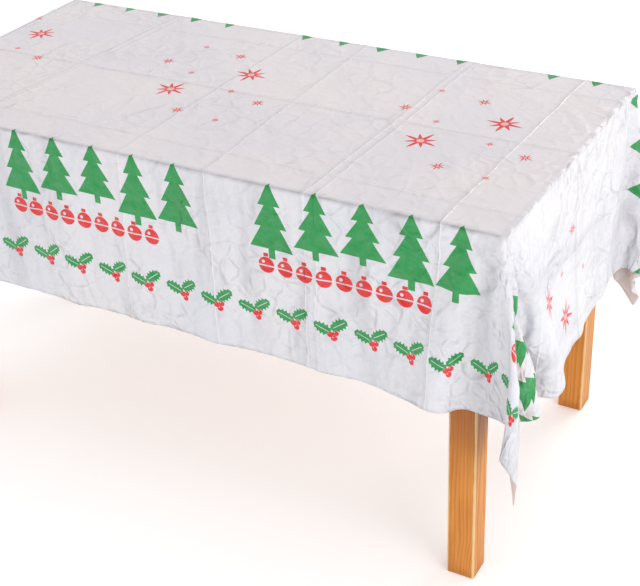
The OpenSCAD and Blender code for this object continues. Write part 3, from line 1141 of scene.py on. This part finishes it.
@dataclass
class DrapeRig:
    """The block and the guiding walls that the film settles against while it is draped.

    Attributes:
        frames: How many steps the film is given to fall and come to rest.
        shrink: How much smaller the top's block is than the top, so that the film lies close to it.
        block_foot: How low the block reaches, which is lower than the film does.
        block_grip: How strongly the block holds the film.
        block_skin: The gap that the block keeps.
        guide_side: How far from the middle the long walls come to stand, in metres.
        guide_end: How far from the middle the end walls come to stand, in metres.
        guide_travel: How far the walls move in.
        guide_thick: How thick they are.
        guide_reach: How far they run to each side of the middle, along and across.
        guide_foot: The height of their lower edges.
        guide_head: The height of their upper edges.
        guide_grip: How strongly they hold the film.
        guide_skin: The gap that they keep.
        guide_first: The step at which they start to move.
        guide_last: The step at which they come to stand.
        blocks: The block and the walls, once they are made.
    """

    frames: int = 90
    shrink: float = 0.0035
    block_foot: float = 0.10
    block_grip: float = 5.0
    block_skin: float = 0.001
    guide_side: float = 0.402
    guide_end: float = 0.750
    guide_travel: float = 0.30
    guide_thick: float = 0.03
    guide_reach: tuple[float, float] = (1.2, 0.8)
    guide_foot: float = 0.10
    guide_head: float = 0.745
    guide_grip: float = 1.0
    guide_skin: float = 0.002
    guide_first: int = 5
    guide_last: int = 40
    blocks: list[bpy.types.Object] = field(default_factory=list)

    def harden(self, block: bpy.types.Object, friction: float, skin: float) -> None:
        """Makes a block solid to the film.

        Args:
            block: The block.
            friction: How strongly it holds the film.
            skin: The gap that it keeps, in metres.
        """
        make_active(block)
        bpy.ops.object.modifier_add(type="COLLISION")
        block.collision.thickness_outer = skin
        block.collision.cloth_friction = friction
        block.collision.damping = 0.5
        self.blocks.append(block)

    def add_table(self) -> None:
        """Adds one block with the top's outline, which also keeps the drops from tucking under it."""
        low, high = joint_box([f"top_board_{number}" for number in range(1, 6)])
        gap = self.shrink
        block = add_block("rig_top", (low[0] + gap, low[1] + gap, self.block_foot),
                          (high[0] - gap, high[1] - gap, high[2] - gap))
        self.harden(block, self.block_grip, self.block_skin)

    def add_guides(self) -> None:
        """Adds four walls that close in and fold the loose corners round the table's ends."""
        for axis, stand in ((1, self.guide_side), (0, self.guide_end)):
            for side in (-1, 1):
                low = [-self.guide_reach[0], -self.guide_reach[1], self.guide_foot]
                high = [self.guide_reach[0], self.guide_reach[1], self.guide_head]
                low[axis], high[axis] = sorted((0.0, side * self.guide_thick))
                wall = add_block("rig_guide", tuple(low), tuple(high))
                self.harden(wall, self.guide_grip, self.guide_skin)
                away = stand + self.guide_travel
                keys = ((1, away), (self.guide_first, away), (self.guide_last, stand))
                for step, place in keys:
                    wall.location[axis] = side * place
                    wall.keyframe_insert("location", frame=step)

    def settle(self, film: bpy.types.Object, flat: bpy.types.ShapeKey) -> np.ndarray:
        """Lets the film fall.

        Args:
            film: The film, with a vertex group "laid" for what stays on the top.
            flat: The shape key that holds its flat cut.

        Returns:
            The place of every vertex at rest, one row each.
        """
        drape = film.modifiers.new("drape", "CLOTH")
        cloth = drape.settings
        cloth.quality = 5
        cloth.mass = 0.1
        cloth.air_damping = 3.0
        cloth.tension_stiffness = cloth.compression_stiffness = 30.0
        cloth.shear_stiffness = 10.0
        cloth.bending_stiffness = 1.0
        cloth.tension_damping = cloth.compression_damping = cloth.shear_damping = 5.0
        cloth.bending_damping = 0.5
        cloth.vertex_group_mass = "laid"
        cloth.rest_shape_key = flat
        touch = drape.collision_settings
        touch.collision_quality = 2
        touch.distance_min = 0.003
        touch.use_self_collision = True
        touch.self_distance_min = 0.004
        scene = bpy.context.scene
        scene.frame_start = 1
        scene.frame_end = self.frames
        drape.point_cache.frame_end = self.frames
        for step in range(1, self.frames + 1):
            scene.frame_set(step)
        places = read_places(film.evaluated_get(bpy.context.evaluated_depsgraph_get()).data)
        scene.frame_set(1)
        return places

    def clear(self) -> None:
        """Removes every block and wall."""
        for block in self.blocks:
            bpy.data.objects.remove(block)
        self.blocks.clear()


def read_places(mesh: bpy.types.Mesh) -> np.ndarray:
    """Reads a mesh's vertices.

    Args:
        mesh: The mesh.

    Returns:
        Their places, one row each.
    """
    flat = np.zeros(len(mesh.vertices) * 3, np.float32)
    mesh.vertices.foreach_get("co", flat)
    return flat.reshape(-1, 3).astype(float)


def write_places(mesh: bpy.types.Mesh, places: np.ndarray) -> None:
    """Moves a mesh's vertices.

    Args:
        mesh: The mesh.
        places: Their places, one row each.
    """
    mesh.vertices.foreach_set("co", places.astype(np.float32).ravel())
    mesh.update()


@dataclass(frozen=True)
class SoftFold:
    """One soft upright fold in a drop.

    Attributes:
        at: Where it stands along its edge of the top, in metres.
        width: Half of its width.
        height: How far it stands out at the hem.
    """

    at: float
    width: float
    height: float


LONG_FOLDS = (
    SoftFold(-0.520, 0.050, 0.006), SoftFold(-0.235, 0.035, 0.008), SoftFold(-0.070, 0.030, 0.006),
    SoftFold(0.090, 0.040, 0.009), SoftFold(0.330, 0.030, 0.008), SoftFold(0.470, 0.050, 0.005),
)
END_FOLDS = (
    SoftFold(-0.170, 0.040, 0.006), SoftFold(0.020, 0.035, 0.008), SoftFold(0.180, 0.040, 0.006),
)


@dataclass(frozen=True)
class HandlingCreases:
    """The scattered creases of handled film: their number, and each size's limits in metres."""

    count: int = 150
    length: tuple[float, float] = (0.04, 0.16)
    height: tuple[float, float] = (0.0003, 0.0012)
    width: tuple[float, float] = (0.009, 0.017)
    seed: int = 11


@dataclass
class FilmTablecloth:
    """One sheet of printed film, cut square and draped over the table.

    Attributes:
        length: The cut length, in metres.
        width: The cut width, in metres.
        thickness: The thickness that the film is modelled with.
        top_length: The table top's length.
        top_width: The table top's width.
        top_height: The height of the top's upper face.
        lay: How far the film's outer face lies off the wood.
        cells: The number of squares across an end drop, the top's length, a side drop and the
            top's width.
        splay: The angle at which the drops start, below the level.
        start_gap: How far above the top the sheet starts.
        start_shake: How unevenly it starts.
        shake_below: How far below the top the unevenness begins.
        held_inset: How far inside the top's edges the sheet is held while the drops fall.
        corner_ease: How near an upright corner the film is kept round it.
        corner_foot: The height above which it is.
        corner_lip: How far below the fold lines that starts.
        plumb_until: How far from the middle the long drops hang plumb.
        plumb_blend: The run over which they turn into the corner folds.
        plumb_share: The share of their slant that is left.
        fold_lean: How much the upright folds lean.
        fold_growth: How fast they grow towards the hem.
        mark_height: How far a fold mark stands up.
        mark_width: Half of its width.
        loose_gain: How much stronger the creases are in the drops.
        loose_run: The run below the edge over which they grow.
        edge_sharpness: How crisply the film turns over the top's edges.
        map_name: The texture map that holds the flat cut.
        seed: The start of the random unevenness.
    """

    length: float = 2.13
    width: float = 1.37
    thickness: float = 0.0006
    top_length: float = 1.37
    top_width: float = 0.66
    top_height: float = 0.75
    lay: float = 0.0013
    cells: tuple[int, int, int, int] = (21, 76, 20, 36)
    splay: float = 55.0
    start_gap: float = 0.0008
    start_shake: float = 0.0006
    shake_below: float = 0.0012
    held_inset: float = 0.004
    corner_ease: float = 0.013
    corner_foot: float = 0.715
    corner_lip: float = 0.0015
    plumb_until: float = 0.400
    plumb_blend: float = 0.240
    plumb_share: float = 0.20
    fold_lean: float = 0.05
    fold_growth: float = 1.3
    mark_height: float = 0.0011
    mark_width: float = 0.0075
    loose_gain: float = 1.6
    loose_run: float = 0.05
    edge_sharpness: float = 0.9
    map_name: str = "flat_cut"
    seed: int = 5

    def lines(self) -> tuple[np.ndarray, np.ndarray]:
        """Places the grid's lines, with one on each edge of the top.

        Returns:
            The lines' places along the cloth and across it.
        """
        end, long, side, short = self.cells

        def row(whole: float, middle: float, outer: int, inner: int) -> np.ndarray:
            """Returns the lines of one direction."""
            left = np.linspace(-whole / 2, -middle / 2, outer + 1)
            centre = np.linspace(-middle / 2, middle / 2, inner + 1)
            right = np.linspace(middle / 2, whole / 2, outer + 1)
            return np.concatenate([left, centre[1:-1], right])

        return (row(self.length, self.top_length, end, long),
                row(self.width, self.top_width, side, short))

    def opened(self, x: np.ndarray, y: np.ndarray) -> np.ndarray:
        """Opens the flat sheet over the top like a hipped roof, before it falls.

        Args:
            x: Each vertex's place along the flat sheet.
            y: Each vertex's place across it.

        Returns:
            The places, one row each.
        """
        angle = math.radians(self.splay)
        half_x, half_y = self.top_length / 2, self.top_width / 2
        over_x = np.maximum(np.abs(x) - half_x, 0) * np.sign(x)
        over_y = np.maximum(np.abs(y) - half_y, 0) * np.sign(y)
        fall = np.hypot(over_x, over_y)
        out = math.cos(angle)
        return np.stack([np.clip(x, -half_x, half_x) + over_x * out,
                         np.clip(y, -half_y, half_y) + over_y * out,
                         self.top_height + self.start_gap - fall * math.sin(angle)], axis=1)

    def sheet_mesh(self, name: str, x: np.ndarray, y: np.ndarray,
                   places: np.ndarray) -> bpy.types.Object:
        """Makes the sheet of square faces, with its flat cut as its texture map.

        Args:
            name: The object's name.
            x: Each vertex's place along the flat sheet, as a grid.
            y: Each vertex's place across it, as a grid.
            places: Each vertex's place in space, one row each.

        Returns:
            The sheet's object.
        """
        order = np.arange(x.size).reshape(x.shape)
        corners = (order[:-1, :-1], order[1:, :-1], order[1:, 1:], order[:-1, 1:])
        faces = np.stack(corners, axis=-1).reshape(-1, 4)
        mesh = bpy.data.meshes.new(name)
        mesh.from_pydata(places.tolist(), [], faces.tolist())
        cut = np.stack([x.ravel() / self.length + 0.5, y.ravel() / self.width + 0.5], axis=1)
        layer = mesh.uv_layers.new(name=self.map_name)
        loops = np.zeros(len(mesh.loops), np.int32)
        mesh.loops.foreach_get("vertex_index", loops)
        layer.uv.foreach_set("vector", cut[loops].astype(np.float32).ravel())
        sheet = bpy.data.objects.new(name, mesh)
        bpy.context.scene.collection.objects.link(sheet)
        return sheet

    def drape(self, x: np.ndarray, y: np.ndarray) -> np.ndarray:
        """Drops the sheet over the table.

        Args:
            x: Each vertex's place along the flat sheet, as a grid.
            y: Each vertex's place across it, as a grid.

        Returns:
            Each vertex's place at rest, one row each.
        """
        along, across = x.ravel(), y.ravel()
        places = self.opened(along, across)
        rng = np.random.default_rng(self.seed)
        loose = places[:, 2:3] < self.top_height - self.shake_below
        places += rng.normal(0, self.start_shake, places.shape) * loose
        film = self.sheet_mesh("rig_film", x, y, places)
        film.shape_key_add(name="opened")
        flat = film.shape_key_add(name="flat")
        level = np.full(along.size, self.top_height + self.start_gap)
        cut = np.stack([along, across, level], axis=1)
        flat.data.foreach_set("co", cut.astype(np.float32).ravel())
        laid = film.vertex_groups.new(name="laid")
        held = np.abs(along) < self.top_length / 2 - self.held_inset
        held &= np.abs(across) < self.top_width / 2 - self.held_inset
        laid.add(np.flatnonzero(held).tolist(), 1.0, "REPLACE")
        rig = DrapeRig()
        rig.add_table()
        rig.add_guides()
        settled = rig.settle(film, flat)
        rig.clear()
        bpy.data.objects.remove(film)
        return settled

    def press_to_top(self, x: np.ndarray, y: np.ndarray, places: np.ndarray) -> np.ndarray:
        """Lays the middle flat on the wood and the creases close round the top's edges.

        Args:
            x: Each vertex's place along the flat sheet.
            y: Each vertex's place across it.
            places: Where the vertices came to rest.

        Returns:
            The corrected places.
        """
        half_x, half_y = self.top_length / 2, self.top_width / 2
        on_top = (np.abs(x) < half_x + SAME_PLACE) & (np.abs(y) < half_y + SAME_PLACE)
        flat_x = np.clip(x, -half_x, half_x)
        flat_y = np.clip(y, -half_y, half_y)
        out_x = np.sign(flat_x) * self.lay * (np.abs(x) > half_x - SAME_PLACE)
        out_y = np.sign(flat_y) * self.lay * (np.abs(y) > half_y - SAME_PLACE)
        places[on_top, 0] = (flat_x + out_x)[on_top]
        places[on_top, 1] = (flat_y + out_y)[on_top]
        places[on_top, 2] = self.top_height + self.lay
        return places

    def hang_plumb(self, x: np.ndarray, y: np.ndarray, places: np.ndarray) -> np.ndarray:
        """Lets the long drops hang plumb from the top's edges, away from the corner folds.

        Args:
            x: Each vertex's place along the flat sheet.
            y: Each vertex's place across it.
            places: Where the vertices came to rest.

        Returns:
            The corrected places.
        """
        half_y = self.top_width / 2 + self.lay
        near_corner = np.clip((np.abs(x) - self.plumb_until) / self.plumb_blend, 0, 1)
        near_corner = near_corner ** 2 * (3 - 2 * near_corner)
        share = self.plumb_share + (1 - self.plumb_share) * near_corner
        out = np.abs(places[:, 1]) - half_y
        hangs = (np.abs(y) > self.top_width / 2 + SAME_PLACE) & (out > 0)
        hung = np.sign(places[:, 1]) * (half_y + out * share)
        places[hangs, 1] = hung[hangs]
        return places

    def keep_off_wood(self, places: np.ndarray) -> np.ndarray:
        """Moves any vertex in or under the top back out through the outline's nearest side.

        Args:
            places: The vertices' places.

        Returns:
            The corrected places.
        """
        margin = self.lay
        reach_x = self.top_length / 2 + margin - np.abs(places[:, 0])
        reach_y = self.top_width / 2 + margin - np.abs(places[:, 1])
        rise = self.top_height + margin - places[:, 2]
        inside = (reach_x > 0) & (reach_y > 0) & (rise > 0)
        nearest = np.argmin(np.stack([reach_x, reach_y, rise], axis=1), axis=1)
        for axis, reach in ((0, reach_x), (1, reach_y)):
            moved = inside & (nearest == axis)
            places[moved, axis] += np.sign(places[moved, axis]) * reach[moved]
        lifted = inside & (nearest == 2)
        places[lifted, 2] += rise[lifted]
        past_x, past_y = -reach_x, -reach_y
        short = 2 * self.lay - past_x - past_y
        round_corner = (past_x > -self.corner_ease) & (past_y > -self.corner_ease) & (short > 0)
        round_corner &= (places[:, 2] > self.corner_foot) & (rise > self.corner_lip)
        for axis in (0, 1):
            push = np.sign(places[:, axis]) * short / 2
            places[round_corner, axis] += push[round_corner]
        return places

    def crumple(self, x: np.ndarray, y: np.ndarray) -> np.ndarray:
        """Works out the relief that handling and folding left in the film.

        Args:
            x: Each vertex's place along the flat sheet.
            y: Each vertex's place across it.

        Returns:
            The relief at each vertex, in metres.
        """
        relief = np.zeros_like(x)
        for mark in FOLD_MARKS:
            run, off = (x, y) if mark.along_x else (y, x)
            gap = off - mark.at - mark.slant * run - 0.004 * np.sin(run * 11.0 + mark.at * 40.0)
            relief += self.mark_height * mark.depth * np.exp(-(gap / self.mark_width) ** 2)
        reach = np.maximum(np.abs(x) - self.top_length / 2, np.abs(y) - self.top_width / 2)
        loose = 1 + self.loose_gain * np.clip(reach / self.loose_run, 0, 1)
        creases = HandlingCreases()
        rng = np.random.default_rng(creases.seed)
        for _ in range(creases.count):
            cx, cy = rng.uniform(-0.5, 0.5) * self.length, rng.uniform(-0.5, 0.5) * self.width
            angle, length = rng.uniform(0, math.pi), rng.uniform(*creases.length)
            height, width = rng.uniform(*creases.height), rng.uniform(*creases.width)
            along = (x - cx) * math.cos(angle) + (y - cy) * math.sin(angle)
            across = (y - cy) * math.cos(angle) - (x - cx) * math.sin(angle)
            relief += loose * height * np.exp(-(along / length) ** 2 - (across / width) ** 2)
        return relief

    def ripple(self, x: np.ndarray, y: np.ndarray) -> np.ndarray:
        """Works out the soft upright folds in the long and short drops.

        Args:
            x: Each vertex's place along the flat sheet.
            y: Each vertex's place across it.

        Returns:
            How far each vertex stands out, in metres.
        """
        drop_y = np.maximum(np.abs(y) - self.top_width / 2, 0) * (np.abs(x) < self.top_length / 2)
        drop_x = np.maximum(np.abs(x) - self.top_length / 2, 0) * (np.abs(y) < self.top_width / 2)
        stands = np.zeros_like(x)
        down_y = (drop_y / ((self.width - self.top_width) / 2)) ** self.fold_growth
        down_x = (drop_x / ((self.length - self.top_length) / 2)) ** self.fold_growth
        for fold in LONG_FOLDS:
            here = x - fold.at - self.fold_lean * (np.abs(y) - self.top_width / 2)
            stands += fold.height * down_y * np.exp(-(here / fold.width) ** 2)
        for fold in END_FOLDS:
            stands += fold.height * down_x * np.exp(-((y - fold.at) / fold.width) ** 2)
        return stands

    def read_cut(self, mesh: bpy.types.Mesh) -> tuple[np.ndarray, np.ndarray]:
        """Reads where each vertex is on the flat cut, from the texture map.

        Args:
            mesh: The draped mesh.

        Returns:
            The places along the sheet and across it.
        """
        loops = np.zeros(len(mesh.loops), np.int32)
        mesh.loops.foreach_get("vertex_index", loops)
        cut = np.zeros(len(mesh.loops) * 2, np.float32)
        mesh.uv_layers[self.map_name].uv.foreach_get("vector", cut)
        at = np.zeros((len(mesh.vertices), 2))
        at[loops] = cut.reshape(-1, 2)
        return (at[:, 0] - 0.5) * self.length, (at[:, 1] - 0.5) * self.width

    def crease_edges(self, sheet: bpy.types.Object) -> None:
        """Marks the lines over the top's edges, so that smoothing keeps them crisp.

        Args:
            sheet: The draped sheet.
        """
        mesh = sheet.data
        x, y = self.read_cut(mesh)
        half_x, half_y = self.top_length / 2, self.top_width / 2
        edge_x = (np.abs(np.abs(x) - half_x) < SAME_LINE) & (np.abs(y) < half_y + SAME_LINE)
        edge_y = (np.abs(np.abs(y) - half_y) < SAME_LINE) & (np.abs(x) < half_x + SAME_LINE)
        ends = np.zeros(len(mesh.edges) * 2, np.int32)
        mesh.edges.foreach_get("vertices", ends)
        ends = ends.reshape(-1, 2)
        sharp = edge_x[ends].all(axis=1) | edge_y[ends].all(axis=1)
        layer = mesh.attributes.new("crease_edge", "FLOAT", "EDGE")
        layer.data.foreach_set("value", (sharp * self.edge_sharpness).astype(np.float32))

    def refine(self, sheet: bpy.types.Object) -> None:
        """Smooths the sheet, adds its relief and gives it its thickness.

        Args:
            sheet: The draped sheet.
        """
        self.crease_edges(sheet)
        smooth = sheet.modifiers.new("smooth", "SUBSURF")
        smooth.levels = smooth.render_levels = 1
        smooth.uv_smooth = "NONE"
        apply_modifier(sheet, "smooth")
        mesh = sheet.data
        x, y = self.read_cut(mesh)
        places = self.keep_off_wood(self.press_to_top(x, y, read_places(mesh)))
        write_places(mesh, places)
        normals = np.zeros(len(mesh.vertices) * 3, np.float32)
        mesh.vertices.foreach_get("normal", normals)
        places += normals.reshape(-1, 3) * (self.crumple(x, y) + self.ripple(x, y))[:, None]
        places = self.keep_off_wood(places)
        write_places(mesh, places)
        wall = sheet.modifiers.new("wall", "SOLIDIFY")
        wall.thickness = self.thickness
        wall.offset = -1.0
        wall.material_offset = 1
        wall.material_offset_rim = 0
        apply_modifier(sheet, "wall")
        make_active(sheet)
        bpy.ops.object.shade_smooth()

    def build(self) -> bpy.types.Object:
        """Returns:
            The finished piece.
        """
        lines_x, lines_y = self.lines()
        x, y = np.meshgrid(lines_x, lines_y, indexing="ij")
        places = self.drape(x, y)
        places = self.press_to_top(x.ravel(), y.ravel(), places)
        places = self.hang_plumb(x.ravel(), y.ravel(), places)
        sheet = self.sheet_mesh("printed_film_cloth", x, y, places)
        festive = FestivePrint().build()
        relief = FilmReliefGroups()
        outer = FilmFinish("printed_film")
        inner = FilmFinish("film_underside", hanging=(0.760, 0.715, 0.715, 1.0),
                           laid=(0.640, 0.600, 0.600, 1.0), show=0.22,
                           relief_depth=0.0030)
        for finish in (outer, inner):
            sheet.data.materials.append(finish.build(self, festive, relief))
        self.refine(sheet)
        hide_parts("tablecloth")
        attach(sheet, "cloth")
        LOG.info("tablecloth: %d vertices, %d faces", len(sheet.data.vertices),
                 len(sheet.data.polygons))
        return sheet


@dataclass
class PineTable:
    """The wooden table under the cloth, whose pieces are the frame's own nodes."""

    ring_by_kind: dict[str, float] = field(
        default_factory=lambda: {"leg": 0.0075, "board": 0.0085, "apron": 0.0065})

    def finishes(self, wood: WoodGroup) -> dict[str, bpy.types.Material]:
        """Builds one material for each kind of piece.

        Args:
            wood: The grain's node group.

        Returns:
            The materials, by the start of the names of the nodes that they are for.
        """
        pale = {"light": (0.680, 0.345, 0.105, 1.0), "dark": (0.470, 0.185, 0.045, 1.0)}
        rings = self.ring_by_kind
        steel = SteelFinish().build()
        across = WoodFinish("pine_crosswise", Grain.CROSSWISE, ring=rings["apron"]).build(wood)
        along = WoodFinish("pine_lengthwise", Grain.LENGTHWISE, ring=rings["apron"]).build(wood)
        blocks = WoodFinish("block_timber", Grain.LENGTHWISE, ring=0.005, gloss=0.6, **pale).build(wood)
        boards = WoodFinish("pine_boards", Grain.LENGTHWISE, ring=rings["board"], **pale).build(wood)
        legs = LegFinish("pine_legs", Grain.UPRIGHT, ring=rings["leg"]).build(wood)
        return {
            "leg_": legs, "top_board_": boards, "apron_front": along, "apron_back": along,
            "apron_left": across, "apron_right": across, "centre_rail": across,
            "rail_dowels": blocks, "corner_block_": blocks, "top_buttons": blocks,
            "hanger_bolts": steel, "bolt_washers": steel, "bolt_nuts": steel,
            "block_screws": steel, "button_screws": steel,
        }

    def dress(self) -> None:
        """Gives every node of the table its material."""
        table = self.finishes(WoodGroup())
        for name, node in sorted(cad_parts.items()):
            for start, material in table.items():
                if name.startswith(start):
                    for slot in node.material_slots:
                        slot.material = material
                    LOG.info("%s: %s", name, material.name)


@dataclass(frozen=True)
class Softbox:
    """A square soft light.

    Attributes:
        name: Its name.
        place: Where it hangs, in metres.
        size: Its side, in metres.
        power: Its power, in watts.
        tone: Its colour.
    """

    name: str
    place: Point
    size: float
    power: float
    tone: tuple[float, float, float]


SOFTBOXES = (
    Softbox("key", (3.4, -1.5, 1.35), 2.0, 35.0, (1.0, 0.985, 0.96)),
    Softbox("fill", (-2.8, -2.2, 1.9), 2.4, 6.0, (0.95, 0.97, 1.0)),
    Softbox("back", (1.4, 3.2, 1.9), 1.8, 40.0, (1.0, 1.0, 1.0)),
)


@dataclass
class Studio:
    """The floor, the soft lights and the camera.

    Attributes:
        eye: Where the camera stands, in metres.
        turn: The camera's heading, tilt and roll, in radians.
        lens: The focal length in millimetres on a frame as wide as frame_width.
        frame_width: The width of the camera's frame, in millimetres.
        floor_size: The floor's side, in metres.
        floor_level: The floor's height, a little under the feet.
        light_aim: The place that the lights face.
        sky: The strength of the even light all round.
        sky_tone: Its colour.
    """

    eye: Point = (1.3697, -2.0874, 1.7865)
    turn: Point = (0.530, 1.028, -0.047)
    lens: float = 75.6
    frame_width: float = 36.0
    floor_size: float = 40.0
    floor_level: float = -0.0004
    light_aim: Point = (0.1, 0.0, 0.5)
    sky: float = 0.90
    sky_tone: Colour = (0.970, 0.985, 1.0, 1.0)

    def add_floor(self) -> None:
        """Lays the floor."""
        clear_selection()
        bpy.ops.mesh.primitive_grid_add(x_subdivisions=8, y_subdivisions=8, size=self.floor_size,
                                        location=(0.0, 0.0, self.floor_level))
        floor = bpy.context.object
        floor.name = "studio_floor"
        bpy.ops.object.transform_apply(location=True, rotation=True, scale=True)
        floor.data.materials.append(FloorFinish().build())

    def add_softbox(self, box: Softbox) -> None:
        """Adds a square soft light that faces the table.

        Args:
            box: The light to add.
        """
        lamp = bpy.data.lights.new(box.name, "AREA")
        lamp.energy = box.power
        lamp.size = box.size
        lamp.color = box.tone
        light = bpy.data.objects.new(box.name, lamp)
        bpy.context.scene.collection.objects.link(light)
        light.location = box.place
        aim = Vector(self.light_aim) - light.location
        light.rotation_euler = aim.to_track_quat("-Z", "Y").to_euler()

    def add_sky(self) -> None:
        """Surrounds the scene with even white light."""
        world = bpy.data.worlds.new("studio_sky")
        bpy.context.scene.world = world
        world.use_nodes = True
        background = world.node_tree.nodes["Background"]
        background.inputs["Color"].default_value = self.sky_tone
        background.inputs["Strength"].default_value = self.sky

    def add_camera(self) -> None:
        """Sets up the camera."""
        optics = bpy.data.cameras.new("camera")
        optics.sensor_width = self.frame_width
        optics.lens = self.lens
        camera = bpy.data.objects.new("camera", optics)
        bpy.context.scene.collection.objects.link(camera)
        heading, tilt, roll = self.turn
        camera.matrix_world = (
            Matrix.Translation(self.eye) @ Matrix.Rotation(heading, 4, "Z")
            @ Matrix.Rotation(tilt, 4, "X") @ Matrix.Rotation(roll, 4, "Z"))
        bpy.context.scene.camera = camera

    def build(self) -> None:
        """Builds the whole studio."""
        self.add_camera()
        self.add_floor()
        self.add_sky()
        for box in SOFTBOXES:
            self.add_softbox(box)
        bpy.context.scene.view_settings.view_transform = "Standard"
        LOG.info("studio: floor, sky, three soft lights and the camera")


def main() -> None:
    """Builds the laid table and logs each part's material and the cloth's vertex and face counts."""
    logging.basicConfig(level=logging.INFO, format="%(name)s: %(message)s")
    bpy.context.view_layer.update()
    Studio().build()
    PineTable().dress()
    FilmTablecloth().build()
    clear_selection()


if __name__ == "__main__":
    main()
